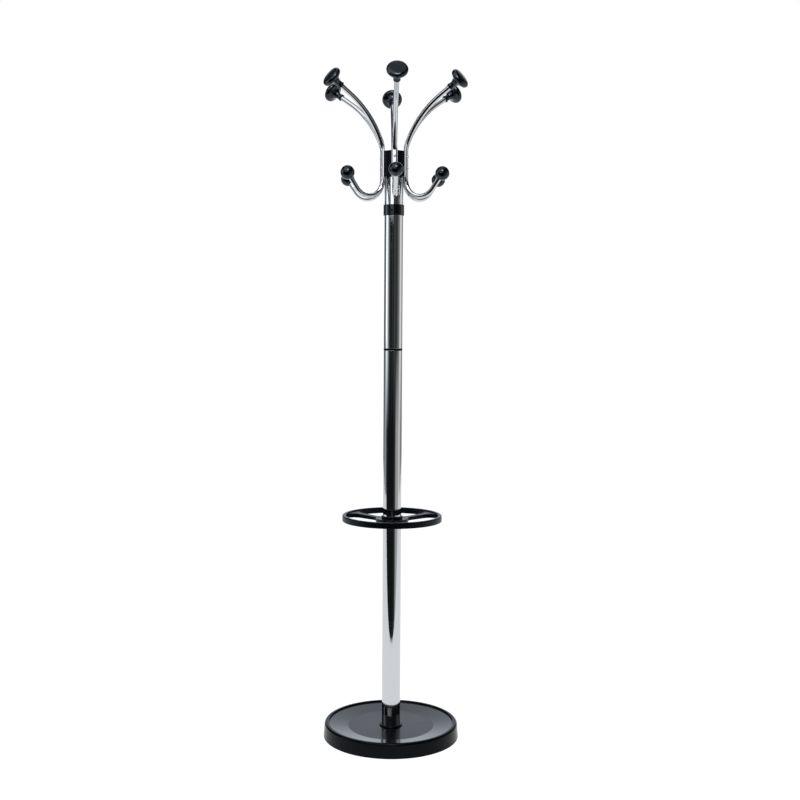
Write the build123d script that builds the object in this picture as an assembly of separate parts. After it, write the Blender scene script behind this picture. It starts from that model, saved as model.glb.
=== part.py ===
from build123d import *

# Standing coat rack. A weighted round base carries a chromed mast in three lengths, with an
# umbrella ring clamped between the lower two. A head of six bent arms swivels on the mast top.
# Millimetres, +Z up. The origin is on the floor at the mast's axis, and the front faces -Y.

import os
from math import cos, radians, sin

os.makedirs("parts", exist_ok=True)

# General fits
fit_gap = 0.05
running_gap = 0.35

# Mast tubes and what is pressed into their ends
tube_radius = 25.0
tube_wall = 1.0
plug_radius = tube_radius - tube_wall - fit_gap
plug_bore = 19.0
plug_lead = 2.0
plug_depth = 30.0

# Base
foot_height = 1.5
base_radius = 182.5
skirt_top_radius = 179.9
skirt_top = 33.0
rim_crown_radius = 174.2
rim_top = 40.2
tray_radius = 165.7
tray_edge = 35.6
disc_radius = 116.3
disc_step = 0.9
disc_top = 28.6
cover_wall = 2.6
rib_thickness = 2.2
rib_inner_radius = 154.0
plate_radius = 176.0
plate_top = 4.0
plate_thickness = 0.8
plate_bottom = plate_top - plate_thickness
weight_radius = 148.0
weight_bottom = 15.0
boss_circle = 170.5
boss_radius = 4.6
pilot_radius = 1.6
foot_circle = 140.0
foot_radius = 11.0
foot_stub_radius = 3.0
base_fixings = 6
bolt_radius = 5.0
bolt_length = 38.0
washer_thickness = 2.0
foot_ring_radius = 31.0
foot_ring_height = 3.6

# Heights along the mast
ring_bottom = 588.4
hub_plate = 4.0
ring_top = 604.3
joint_bottom = 1045.2
joint_top = 1050.8
collar_bottom = 1401.0
collar_top = 1429.3
upper_tube_top = 1422.0
thrust_thickness = 2.0
head_bottom = upper_tube_top + thrust_thickness
hub_bottom = 1501.3
hub_top = 1568.2

# Umbrella ring
ring_radius = 133.8
ring_band = 10.0
ring_wall = 2.4
ring_boss_radius = 28.4
ring_boss_top = ring_top - 2.5
ring_dish_radius = 44.0
dish_rise = 2.6
dish_drop = 2.2
spoke_width = 19.0
spoke_corner = 13.0
spoke_flare = 24.0
spoke_count = 3
first_spoke_angle = 30.0

# Swivel
collar_radius = 27.6
collar_screw_radius = 3.0
collar_screw_height = 1414.0
collar_screw_angle = -102.0
spindle_radius = 6.0
spindle_head_radius = 11.0
spindle_head_height = 7.0
nut_height = 10.0
bush_length = 45.0

# Head
arm_count = 6
head_turn = 2.0
hub_radius = 34.4
hub_bore = 14.0
hub_floor = 5.0
hub_spigot = 22.0
core_circle = 25.0
core_radius = 4.5
cap_radius = 28.0
cap_plug_radius = 21.0
cap_plug_depth = 5.0
cap_rise = 4.0
arm_circle = 35.8
arm_radius = 6.5
arm_wall = 1.0
flat_half_width = 8.3
flat_half_depth = 4.0
flat_land = 3.6
seat_radius = arm_circle - flat_land
screw_heights = (1523.0, 1553.0)
screw_radius = 1.85
screw_length = 20.0

# Upper sweep of an arm, from the flattened part outwards
upper_start = 1569.0
blend_angle = 10.0
upper_first_radius = 57.0
upper_first_turn = 22.4
upper_second_radius = 249.5
upper_second_turn = 33.6
upper_straight = 54.0
knob_reach = 15.0

# Lower hook of an arm
lower_start = 1491.2
flat_bottom = 1500.5
lower_radius = 42.4
lower_turn = 143.2
lower_straight = 38.0
ball_reach = 10.4
ball_radius = 18.4
ball_flat = 16.2

# Top knob
knob_rim_circle = 19.5
knob_rim_radius = 8.0
knob_crown = 0.9
knob_neck_radius = 8.4
knob_length = 35.0
knob_bead = 5.0

places = ["front", "front_right", "back_right", "back", "back_left", "front_left"]


def revolved(*lines):
    """Turns a closed outline in the XZ plane once around the mast's axis."""
    outline = make_face(Plane.XZ * Curve(lines))
    return revolve(outline, Axis.Z)


def turned(*corners):
    """Turns a polygon of (radius, height) corners once around the mast's axis."""
    return revolved(Polyline(*corners, close=True))


def pipe(outer, inner, bottom, top):
    """A plain ring or tube between two heights."""
    return turned((inner, bottom), (outer, bottom), (outer, top), (inner, top))


def rod(radius, bottom, top):
    """A plain round bar between two heights."""
    return Pos(0, 0, bottom) * extrude(Circle(radius), top - bottom)


def hexagon(corner_radius, bottom, top):
    """A hexagonal bar, as in a bolt's head or a nut."""
    return Pos(0, 0, bottom) * extrude(RegularPolygon(corner_radius, 6), top - bottom)


def around(piece, count, first_angle=0.0):
    """Copies of one piece, evenly spaced around the mast's axis."""
    angles = [first_angle + index * 360 / count for index in range(count)]
    return [Rot(0, 0, angle) * piece for angle in angles]


def save(name, *solids):
    """Writes one node, as one solid or as a group of separate solids."""
    shape = solids[0] if len(solids) == 1 else Compound(children=list(solids))
    export_step(shape, f"parts/{name}.step")


# Base


def cover_shell():
    """Drafted skirt, rolled rim, sloping drip tray and a flat centre, in one wall thickness."""
    skirt = Line((base_radius, foot_height), (skirt_top_radius, skirt_top))
    outer_roll = ThreePointArc(
        (skirt_top_radius, skirt_top), (178.4, 38.0), (rim_crown_radius, rim_top)
    )
    inner_roll = ThreePointArc(
        (rim_crown_radius, rim_top), (169.6, 39.2), (tray_radius, tray_edge)
    )
    tray = Polyline(
        (tray_radius, tray_edge),
        (disc_radius, disc_top + disc_step),
        (disc_radius - disc_step, disc_top),
        (0, disc_top),
        (0, foot_height),
        (base_radius, foot_height),
    )
    body = revolved(skirt, outer_roll, inner_roll, tray)
    underside = body.faces().sort_by(Axis.Z)[0]
    return offset(body, amount=-cover_wall, openings=underside)


def cover_inside():
    """Space under the rim that the screw bosses and the ribs fill, overlapping the shell."""
    overlap = 1.0
    wall = skirt_top_radius - 1.5 * overlap
    return turned(
        (rib_inner_radius, plate_top),
        (wall, plate_top),
        (wall, skirt_top),
        (rim_crown_radius, rim_top - overlap),
        (tray_radius, tray_edge - overlap),
        (rib_inner_radius, tray_edge - 2.4 * overlap),
    )


def base_cover():
    """Black moulded cover, with screw bosses and stiffening ribs behind its rim."""
    shell = cover_shell()
    inside = cover_inside()
    boss = Pos(boss_circle, 0, 0) * rod(boss_radius, plate_top, rim_top)
    rib_length = skirt_top_radius - rib_inner_radius
    rib = Pos(rib_inner_radius, 0, plate_top) * Box(
        rib_length, rib_thickness, rim_top, align=(Align.MIN, Align.CENTER, Align.MIN)
    )
    for piece in around(boss, base_fixings) + around(rib, 2 * base_fixings, 15.0):
        shell += piece & inside
    pilot = Pos(boss_circle, 0, 0) * rod(pilot_radius, foot_height, plate_top + 14.0)
    bolt_hole = rod(bolt_radius + 1.0, weight_bottom, rim_top)
    return shell - around(pilot, base_fixings) - bolt_hole


def base_weight():
    """Cast disc bolted up against the underside of the tray."""
    top = disc_top - cover_wall - 0.1
    slab = pipe(weight_radius, bolt_radius + 1.0, weight_bottom, top)
    rims = slab.edges().filter_by(GeomType.CIRCLE).group_by(SortBy.RADIUS)[-1]
    return chamfer(rims, 1.5)


def base_plate():
    """Sheet that closes the underside, with holes for the bolt's head, screws and feet."""
    sheet = pipe(plate_radius, 20.0, plate_bottom, plate_top)
    screw_hole = Pos(boss_circle, 0, 0) * rod(pilot_radius + 0.5, foot_height, rim_top)
    foot_hole = Pos(foot_circle, 0, 0) * rod(foot_stub_radius + 0.1, foot_height, rim_top)
    return sheet - around(screw_hole, base_fixings) - around(foot_hole, base_fixings, 30.0)


def base_feet():
    """Rubber pads, each with a stub through the plate."""
    pad = rod(foot_radius, 0, plate_bottom)
    pad = chamfer(pad.edges().sort_by(Axis.Z)[0], 0.7)
    foot = pad + rod(foot_stub_radius, 0, plate_top)
    return around(Pos(foot_circle, 0, 0) * foot, base_fixings, 30.0)


def base_plate_screws():
    """Self-tapping screws from below into the cover's bosses."""
    head_bottom_height = 0.8
    head_piece = rod(3.6, head_bottom_height, plate_bottom)
    shank = rod(pilot_radius - fit_gap, head_bottom_height, plate_top + 10.0)
    return around(Pos(boss_circle, 0, 0) * (head_piece + shank), base_fixings)


def mast_bolt():
    """Hexagon bolt from below, through the weight and the cover into the foot plug."""
    head_top = weight_bottom - washer_thickness
    shank = rod(bolt_radius, head_top, head_top + bolt_length)
    shank = chamfer(shank.edges().sort_by(Axis.Z)[-1], 1.0)
    return shank + hexagon(9.8, head_top - 6.4, head_top)


def mast_washer():
    """Washer between the bolt's head and the weight."""
    return pipe(15.0, bolt_radius + 0.4, weight_bottom - washer_thickness, weight_bottom)


def foot_plug():
    """Threaded plug pressed into the foot of the lower tube, hollow above its thread."""
    bore = bolt_radius + fit_gap
    thread_top = disc_top + 24.0
    top = disc_top + 28.0
    return turned(
        (bore, disc_top),
        (plug_radius, disc_top),
        (plug_radius, top - plug_lead),
        (plug_radius - plug_lead, top),
        (9.0, top),
        (9.0, thread_top),
        (bore, thread_top),
    )


def foot_ring():
    """Trim ring around the foot of the mast."""
    ring = pipe(foot_ring_radius, tube_radius + fit_gap, disc_top, disc_top + foot_ring_height)
    outer_edge = ring.edges().group_by(Axis.Z)[-1].sort_by(SortBy.RADIUS)[-1]
    return fillet(outer_edge, 2.4)


# Mast


def mast_tube(bottom, top):
    """One length of chromed tube."""
    return pipe(tube_radius, tube_radius - tube_wall, bottom, top)


def spigot(web_bottom, web_top):
    """Hollow plug for two tube ends, closed by a web, with a lead-in at each end."""
    low = web_bottom - plug_depth
    high = web_top + plug_depth
    return turned(
        (0, web_bottom),
        (plug_bore, web_bottom),
        (plug_bore, low),
        (plug_radius - plug_lead, low),
        (plug_radius, low + plug_lead),
        (plug_radius, high - plug_lead),
        (plug_radius - plug_lead, high),
        (plug_bore, high),
        (plug_bore, web_top),
        (0, web_top),
    )


def ring_joiner():
    """Spigot that passes through the umbrella ring's hub into the tubes above and below."""
    return spigot(ring_bottom, ring_bottom + hub_plate)


def tube_joiner():
    """Joiner of the middle and upper tubes: its flange shows as a thin black ring."""
    flange = pipe(tube_radius, plug_bore + 1.0, joint_bottom, joint_top)
    return spigot(joint_bottom, joint_top) + flange


# Umbrella ring


def spoke_plan(width):
    """Plan of the hub's dish and the spokes, which widen where they meet the dish and the ring."""
    inner = ring_radius - ring_band
    openings = Circle(inner + 0.5) - Circle(ring_dish_radius)
    for index in range(spoke_count):
        spoke = Rectangle(ring_radius, width, align=(Align.MIN, Align.CENTER))
        openings -= Rot(0, 0, first_spoke_angle + index * 360 / spoke_count) * spoke
    plan = Circle(ring_radius - 1.0)
    for opening in openings.faces():
        corners = opening.vertices().sort_by_distance((0, 0, 0))
        opening = fillet(corners[2:], spoke_flare)
        corners = opening.vertices().sort_by_distance((0, 0, 0))
        plan -= fillet(corners[:2], spoke_corner)
    return plan


def ring_band_section():
    """The ring itself: rounded edges above and below, hollow from underneath."""
    inner = ring_radius - ring_band
    band = pipe(ring_radius, inner, ring_bottom, ring_top)
    band = fillet(band.edges().group_by(Axis.Z)[-1], 3.0)
    band = fillet(band.edges().group_by(Axis.Z)[0], 1.0)
    hollow = pipe(
        ring_radius - ring_wall, inner + ring_wall, ring_bottom - 1.0, ring_top - 1.5 * ring_wall
    )
    return band - hollow


def spoke_web():
    """Dish and spokes: they rise outwards, and each spoke is a channel open underneath."""
    inner = tube_radius + fit_gap
    outer = ring_radius - ring_band + ring_wall
    dish_bottom = ring_bottom - dish_drop
    dish_top = ring_bottom + hub_plate + dish_rise
    spoke_top = ring_top - 3.2
    slab = turned(
        (inner, dish_bottom),
        (ring_dish_radius, dish_bottom),
        (outer, ring_bottom + 1.2),
        (outer, spoke_top),
        (ring_dish_radius, dish_top),
        (inner, dish_top),
    )
    prism = Pos(0, 0, ring_bottom - 5.0) * extrude(spoke_plan(spoke_width), 40.0)
    channel_start = ring_dish_radius + 8.0
    channel = turned(
        (channel_start, dish_bottom - 1.0),
        (outer - 2 * ring_wall, dish_bottom - 1.0),
        (outer - 2 * ring_wall, spoke_top - ring_wall - 0.6),
        (channel_start, dish_top - ring_wall),
    )
    inside_width = spoke_width - 2 * ring_wall
    for index in range(spoke_count):
        strip = Rectangle(ring_radius, inside_width, align=(Align.MIN, Align.CENTER))
        strip = Rot(0, 0, first_spoke_angle + index * 360 / spoke_count) * strip
        slab -= channel & (Pos(0, 0, ring_bottom - 5.0) * extrude(strip, 40.0))
    return slab & prism


def umbrella_ring():
    """One moulding: ring, three spokes, a dished hub and a boss around the mast."""
    boss = pipe(ring_boss_radius, tube_radius + fit_gap, ring_bottom + 1.0, ring_boss_top)
    boss = fillet(boss.edges().group_by(Axis.Z)[-1].sort_by(SortBy.RADIUS)[-1], 1.6)
    clamped = pipe(
        ring_boss_radius, plug_radius + fit_gap, ring_bottom, ring_bottom + hub_plate
    )
    return ring_band_section() + spoke_web() + boss + clamped


# Swivel


def swivel_bush():
    """Bearing plug in the top of the upper tube, bored for the spindle."""
    bottom = upper_tube_top - bush_length
    bore = spindle_radius + fit_gap
    return turned(
        (bore, bottom),
        (plug_radius - plug_lead, bottom),
        (plug_radius, bottom + plug_lead),
        (plug_radius, upper_tube_top),
        (bore, upper_tube_top),
    )


def thrust_washer():
    """Slip washer that carries the head."""
    return pipe(tube_radius, spindle_radius + fit_gap, upper_tube_top, head_bottom)


def at_collar_screw(piece):
    """Places a piece made along Z on the collar, pointing out of the mast at its screw."""
    outwards = Rot(0, 0, collar_screw_angle) * Pos(tube_radius + fit_gap, 0, collar_screw_height)
    return outwards * Rot(0, 90, 0) * piece


def swivel_collar():
    """Glossy band over the swivel joint: fixed to the mast, clear of the turning tube."""
    clear_from = head_bottom - 0.5
    collar = turned(
        (tube_radius + fit_gap, collar_bottom),
        (collar_radius, collar_bottom),
        (collar_radius, collar_top),
        (tube_radius + running_gap, collar_top),
        (tube_radius + running_gap, clear_from),
        (tube_radius + fit_gap, clear_from),
    )
    outer_edges = collar.edges().filter_by(GeomType.CIRCLE).group_by(SortBy.RADIUS)[-1]
    collar = fillet(outer_edges, 0.8)
    return collar - at_collar_screw(rod(collar_screw_radius + 0.1, -1.0, 5.0))


def collar_screw():
    """Socket grub screw that clamps the collar against the upper tube."""
    length = collar_radius - tube_radius - fit_gap
    screw = rod(collar_screw_radius, 0, length)
    socket = hexagon(1.75, length - 1.6, length + 1.0)
    return at_collar_screw(screw - socket)


def head_plug():
    """Plug in the foot of the head tube, which holds the spindle."""
    bore = spindle_radius + fit_gap
    top = head_bottom + plug_depth
    return turned(
        (bore, head_bottom),
        (plug_radius, head_bottom),
        (plug_radius, top - plug_lead),
        (plug_radius - plug_lead, top),
        (bore, top),
    )


def spindle():
    """Pivot pin with a head that rests on the head plug."""
    head_height = head_bottom + plug_depth
    end = upper_tube_top - bush_length - washer_thickness - nut_height - 7.0
    pin = rod(spindle_radius, end, head_height)
    pin = chamfer(pin.edges().sort_by(Axis.Z)[0], 1.0)
    return pin + hexagon(spindle_head_radius, head_height, head_height + spindle_head_height)


def spindle_washer():
    """Washer under the bush, just clear of it."""
    top = upper_tube_top - bush_length - 0.2
    return pipe(12.0, spindle_radius + fit_gap, top - washer_thickness, top)


def spindle_nut():
    """Lock nut that keeps the spindle in the bush."""
    top = upper_tube_top - bush_length - washer_thickness - 0.2
    nut = hexagon(spindle_head_radius, top - nut_height, top)
    return nut - rod(spindle_radius + fit_gap, top - 2 * nut_height, top + nut_height)


# Head


def screw_hole(height):
    """Hole for an arm screw, through the arm and into the hub."""
    return Pos(arm_circle, 0, height) * Rot(0, 90, 0) * Cylinder(screw_radius + fit_gap, 34.0)


def arm_hub():
    """Moulded hub: a spigot in the head tube, and six flat-bottomed seats around the body."""
    spigot_bottom = hub_bottom - hub_spigot
    web_bottom = hub_bottom + 4.0
    ledge = hub_top - cap_plug_depth
    body = turned(
        (0, web_bottom),
        (plug_bore, web_bottom),
        (plug_bore, spigot_bottom),
        (plug_radius - plug_lead, spigot_bottom),
        (plug_radius, spigot_bottom + plug_lead),
        (plug_radius, hub_bottom),
        (hub_radius - 0.8, hub_bottom),
        (hub_radius, hub_bottom + 0.8),
        (hub_radius, hub_top - 1.2),
        (hub_radius - 1.2, hub_top),
        (cap_plug_radius, hub_top),
        (cap_plug_radius, ledge),
        (hub_bore, ledge),
        (hub_bore, web_bottom + hub_floor),
        (0, web_bottom + hub_floor),
    )
    seat = Pos(seat_radius, 0, (hub_bottom + hub_top) / 2) * Box(
        10.0,
        2 * flat_half_width + 0.6,
        120.0,
        align=(Align.MIN, Align.CENTER, Align.CENTER),
    )
    core = Pos(core_circle, 0, 0) * rod(core_radius, web_bottom + hub_floor, hub_top + 1.0)
    body -= around(seat, arm_count)
    body -= around(core, arm_count, 180 / arm_count)
    for height in screw_heights:
        body -= around(screw_hole(height), arm_count)
    return body


def hub_cap():
    """Shallow domed cap that closes the hub's top."""
    rim = hub_top + 0.8
    crown = hub_top + cap_rise
    edge = Polyline((0, crown), (0, hub_top), (cap_radius, hub_top), (cap_radius, rim))
    dome = TangentArc((0, crown), (cap_radius, rim), tangent=(1, 0))
    return revolved(dome, edge) + rod(cap_plug_radius - fit_gap, hub_top - cap_plug_depth, hub_top)


def leaning(tilt):
    """Direction that leans outwards from straight up by an angle, as (out, up)."""
    return (sin(radians(tilt)), cos(radians(tilt)))


def blend_end():
    """Distance out and height where the tube is round again above the hub."""
    out, up = leaning(blend_angle)
    return (
        arm_circle + upper_first_radius * (1 - up),
        upper_start + upper_first_radius * out,
    )


def upper_path():
    """Centre line of the upper sweep, from the end of its blend to the knob."""
    turn = upper_first_turn - blend_angle
    first = JernArc(blend_end(), leaning(blend_angle), upper_first_radius, -turn)
    second = JernArc(first @ 1, first % 1, upper_second_radius, -upper_second_turn)
    straight = Line(second @ 1, second @ 1 + (second % 1) * upper_straight)
    return Plane.XZ * Wire([first, second, straight])


def lower_path():
    """Centre line of the lower hook, from the end of its blend to the ball."""
    bend = JernArc((arm_circle, lower_start), leaning(180), lower_radius, lower_turn)
    straight = Line(bend @ 1, bend @ 1 + (bend % 1) * lower_straight)
    return Plane.XZ * Wire([bend, straight])


def swept_tube(path, radius):
    """A round section swept along a path."""
    section = Plane(origin=path @ 0, z_dir=path % 0) * Circle(radius)
    return sweep(section, path=path)


def arm_core(wall):
    """The whole arm as a solid, inset by a wall: taking one from another leaves the tube."""
    flat = Ellipse(flat_half_depth - wall, flat_half_width - wall)
    round_end = Circle(arm_radius - wall)
    path = upper_path()
    upper_round = Plane(origin=path @ 0, x_dir=(path % 0).cross(Vector(0, 1, 0)), z_dir=path % 0)
    middle = extrude(Pos(arm_circle, 0, flat_bottom) * flat, upper_start - flat_bottom)
    top = loft([Pos(arm_circle, 0, upper_start) * flat, upper_round * round_end])
    bottom = loft(
        [Pos(arm_circle, 0, lower_start) * round_end, Pos(arm_circle, 0, flat_bottom) * flat]
    )
    upper = swept_tube(path, arm_radius - wall)
    lower = swept_tube(lower_path(), arm_radius - wall)
    return middle + top + bottom + upper + lower


def arm():
    """Bent tube, flattened and coined where two screws hold it in its seat."""
    tube = arm_core(0.0) - arm_core(arm_wall)
    coin_depth = 10.0
    middle = (flat_bottom + upper_start) / 2
    for side in (-1, 1):
        place = Pos(arm_circle + side * (flat_land + coin_depth / 2), 0, middle)
        tube -= place * Box(coin_depth, 30.0, upper_start - flat_bottom - 0.2)
    for height in screw_heights:
        tube -= screw_hole(height)
    return tube


def on_arm_end(path, piece):
    """Places a turned piece so that its axis follows the end of an arm's line."""
    return Plane(origin=path @ 1, z_dir=path % 1).location * piece


def top_knob():
    """Mushroom knob: full-round rim, nearly flat face and a trumpet neck with a bead."""
    circle, edge, neck = knob_rim_circle, knob_rim_radius, knob_neck_radius
    bead_top = knob_bead - knob_length
    bead_radius = neck + 0.9
    face = TangentArc((0, edge + knob_crown), (circle, edge), tangent=(1, 0))
    rim = ThreePointArc((circle, edge), (circle + edge, 0), (circle, -edge))
    trumpet = ThreePointArc((circle, -edge), (11.4, -14.5), (neck, bead_top))
    end = Polyline(
        (neck, bead_top),
        (bead_radius, bead_top - 0.8),
        (bead_radius, 0.8 - knob_length),
        (neck, -knob_length),
        (0, -knob_length),
        (0, edge + knob_crown),
    )
    socket = rod(arm_radius + fit_gap, -knob_length, 1.0 - knob_reach)
    knob = revolved(face, rim, trumpet, end) - socket
    return on_arm_end(upper_path(), Pos(0, 0, knob_reach) * knob)


def lower_ball():
    """Ball at the end of the lower hook, with a flat where the tube enters."""
    ball = Sphere(ball_radius) - rod(ball_radius, -2 * ball_radius, -ball_flat)
    socket = rod(arm_radius + fit_gap, -ball_radius, 0.5 - ball_reach)
    return on_arm_end(lower_path(), Pos(0, 0, ball_reach) * (ball - socket))


def arm_screws():
    """Pan-head screws through the flattened part of each arm into the hub."""
    head_piece = rod(3.7, 0, 2.2)
    head_piece = fillet(head_piece.edges().sort_by(Axis.Z)[-1], 1.4)
    screw = Rot(0, 90, 0) * (head_piece + rod(screw_radius, -screw_length, 0))
    screws = []
    for height in screw_heights:
        screws += around(Pos(arm_circle + flat_land, 0, height) * screw, arm_count)
    return screws


def on_head(piece, index=0):
    """Turns a piece of the head to its place around the mast."""
    return Rot(0, 0, head_turn - 90 + index * 360 / arm_count) * piece


stand = {
    "base_cover": base_cover(),
    "base_weight": base_weight(),
    "base_plate": base_plate(),
    "mast_bolt": mast_bolt(),
    "mast_washer": mast_washer(),
    "foot_plug": foot_plug(),
    "foot_ring": foot_ring(),
    "lower_tube": mast_tube(disc_top, ring_bottom),
    "ring_joiner": ring_joiner(),
    "umbrella_ring": umbrella_ring(),
    "middle_tube": mast_tube(ring_bottom + hub_plate, joint_bottom),
    "tube_joiner": tube_joiner(),
    "upper_tube": mast_tube(joint_top, upper_tube_top),
    "swivel_bush": swivel_bush(),
    "thrust_washer": thrust_washer(),
    "swivel_collar": swivel_collar(),
    "collar_screw": collar_screw(),
}
head = {
    "head_plug": head_plug(),
    "spindle": spindle(),
    "spindle_washer": spindle_washer(),
    "spindle_nut": spindle_nut(),
    "head_tube": mast_tube(head_bottom, hub_bottom),
    "arm_hub": arm_hub(),
    "hub_cap": hub_cap(),
}

for name, piece in stand.items():
    save(name, piece)
save("base_feet", *base_feet())
save("base_plate_screws", *base_plate_screws())

for name, piece in head.items():
    save(name, on_head(piece))
save("arm_screws", *[on_head(screw) for screw in arm_screws()])

one_arm = arm()
one_knob = top_knob()
one_ball = lower_ball()
for index, place in enumerate(places):
    save(f"arm_{place}", on_head(one_arm, index))
    save(f"top_knob_{place}", on_head(one_knob, index))
    save(f"lower_ball_{place}", on_head(one_ball, index))
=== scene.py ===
from math import asin, atan2, cos, degrees, pi, radians, sin, sqrt, tan

import bpy
from bpy.props import FloatProperty, FloatVectorProperty, IntProperty, PointerProperty
from mathutils import Matrix, Vector


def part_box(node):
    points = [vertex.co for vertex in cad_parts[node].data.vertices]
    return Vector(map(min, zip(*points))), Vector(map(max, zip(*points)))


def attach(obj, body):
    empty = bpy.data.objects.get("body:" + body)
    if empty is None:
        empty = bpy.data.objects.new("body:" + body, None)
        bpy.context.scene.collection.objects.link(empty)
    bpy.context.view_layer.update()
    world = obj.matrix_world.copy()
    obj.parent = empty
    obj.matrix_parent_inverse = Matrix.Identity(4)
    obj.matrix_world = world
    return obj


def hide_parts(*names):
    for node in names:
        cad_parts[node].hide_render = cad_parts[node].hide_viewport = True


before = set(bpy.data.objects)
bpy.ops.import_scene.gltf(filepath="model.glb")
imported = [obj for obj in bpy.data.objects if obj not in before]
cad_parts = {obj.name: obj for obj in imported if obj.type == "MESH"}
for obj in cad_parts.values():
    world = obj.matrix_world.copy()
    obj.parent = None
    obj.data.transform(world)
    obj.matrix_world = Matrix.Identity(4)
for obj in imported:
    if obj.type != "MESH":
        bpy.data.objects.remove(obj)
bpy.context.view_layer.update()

bl_info = {
    "name": "Standing Coat Rack",
    "version": (1, 0, 0),
    "blender": (4, 5, 0),
    "location": "3D View > Sidebar > Coat Rack",
    "description": "Chromed coat rack with a swivelling head, an umbrella ring and a drip tray",
    "category": "Object",
}

MM = 0.001
PLACES = ["front", "front_right", "back_right", "back", "back_left", "front_left"]

# Gap between pieces that fit each other, in millimetres
FIT_GAP = 0.05

# Sizes of the base cover, in millimetres: how far the tray and the disc lie inside its edge
COVER_BOTTOM = 1.5
COVER_WALL = 2.6
COVER_BOLT_HOLE = 6.0
RIM_TOP = 40.2
TRAY_TOP = 35.7
TRAY_INSET = 16.6
DISC_TOP = 28.6
DISC_INSET = 67.0

# Sizes of the umbrella ring, in millimetres
RING_BAND = 10.0
RING_WALL = 2.4
RING_ROOF = 3.6
RING_SEAT = 4.0
RING_BOSS_RADIUS = 28.4
RING_BOSS_DROP = 2.5
RING_DISH_RADIUS = 44.0
RING_DISH_DROP = 2.2
RING_DISH_RISE = 6.6
SPOKE_WIDTH = 19.0
SPOKE_DROP = 3.2
SPOKE_CORNER = 13.0
SPOKE_FLARE = 24.0
SPOKE_ANGLES = (30, 150, 270)

# Sizes of the tubes and of what sits on the arms, in millimetres and radians
TUBE_WALL = 1.0
JOINER_WALL = 5.0
CAP_PLUG_RADIUS = 20.95
ARM_CIRCLE = 35.8
FLAT_HALF_WIDTH = 7.8
FLAT_HALF_DEPTH = 4.6
FLAT_LAND = 3.6
FLAT_FACE = 4.1
FLAT_MARGIN = 0.8
COIN_STEP = 1.2
SCREW_HEIGHTS = (1523.0, 1553.0)
SCREW_RADIUS = 1.85
SCREW_HEAD_RADIUS = 3.7
SCREW_HEAD_HEIGHT = 2.2
SCREW_SHANK = 4.0
RECESS_SIZE = (3.6, 0.9, 3.0)
RECESS_TAPER = 0.55
HOOK_RADIUS = 42.4
HOOK_TURN = radians(143.2)
HOOK_STRAIGHT = 38.0
HOOK_BLEND = radians(12.0)
HOOK_DROP = 9.3
BLEND_TURN = radians(18.0)
BLEND_STEPS = 12
SWEEP_RADIUS = 57.0
SWEEP_TURN = radians(22.4)
REACH_RADIUS = 249.5
REACH_TURN = radians(33.6)
REACH_STRAIGHT = 54.0
BALL_REACH = 10.4
BALL_FLAT = 16.2
KNOB_REACH = 15.0
KNOB_RIM_CIRCLE = 19.5
KNOB_RIM_RADIUS = 8.0
KNOB_CROWN = 0.9
KNOB_NECK_RADIUS = 8.4
KNOB_BEAD = 5.0
KNOB_LENGTH = 35.0


def half_width(node):
    """Half of a node's width along X, in metres."""
    low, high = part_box(node)
    return (high.x - low.x) / 2


def heights(node):
    """Lowest and highest height of a node, in millimetres."""
    low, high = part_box(node)
    return low.z / MM, high.z / MM


def linear(hex_colour):
    """Turns an sRGB hex colour into linear red, green and blue."""
    digits = hex_colour.lstrip("#")
    channels = [int(digits[start : start + 2], 16) / 255 for start in (0, 2, 4)]
    return [c / 12.92 if c <= 0.04045 else ((c + 0.055) / 1.055) ** 2.4 for c in channels]


class RackSizes(bpy.types.PropertyGroup):
    """Sizes of the dressed pieces, which follow the frame."""

    mast_radius: FloatProperty(
        name="Mast radius",
        description="Outer radius of the mast tubes",
        default=half_width("lower_tube"),
        unit="LENGTH",
    )
    base_radius: FloatProperty(
        name="Base radius",
        description="Radius of the base cover at the floor",
        default=half_width("base_cover"),
        unit="LENGTH",
    )
    ring_radius: FloatProperty(
        name="Umbrella ring radius",
        description="Outer radius of the umbrella ring",
        default=half_width("umbrella_ring"),
        unit="LENGTH",
    )
    arm_radius: FloatProperty(
        name="Arm tube radius",
        description="Outer radius of an arm where it is round",
        default=6.5 * MM,
        unit="LENGTH",
    )
    ball_radius: FloatProperty(
        name="Ball radius",
        description="Radius of the balls on the lower hooks",
        default=18.4 * MM,
        unit="LENGTH",
    )
    head_turn: FloatProperty(
        name="Head turn",
        description="Angle by which the head stands turned from the front at rest",
        default=radians(2.0),
        subtype="ANGLE",
    )
    facets: IntProperty(
        name="Facets",
        description="Facets around a turned piece",
        default=128,
        min=24,
    )


class RackColours(bpy.types.PropertyGroup):
    """Colours of the finishes."""

    chrome: FloatVectorProperty(
        name="Chrome plate",
        description="Colour of the chromed tubes",
        subtype="COLOR",
        default=linear("#c6c8ca"),
    )
    moulding: FloatVectorProperty(
        name="Black moulding",
        description="Colour of the satin black mouldings",
        subtype="COLOR",
        default=linear("#04070d"),
    )
    gloss: FloatVectorProperty(
        name="Polished black",
        description="Colour of the knobs, the balls and the collar",
        subtype="COLOR",
        default=linear("#03060b"),
    )
    floor: FloatVectorProperty(
        name="Floor",
        description="Colour of the studio floor",
        subtype="COLOR",
        default=linear("#484848"),
    )


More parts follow.
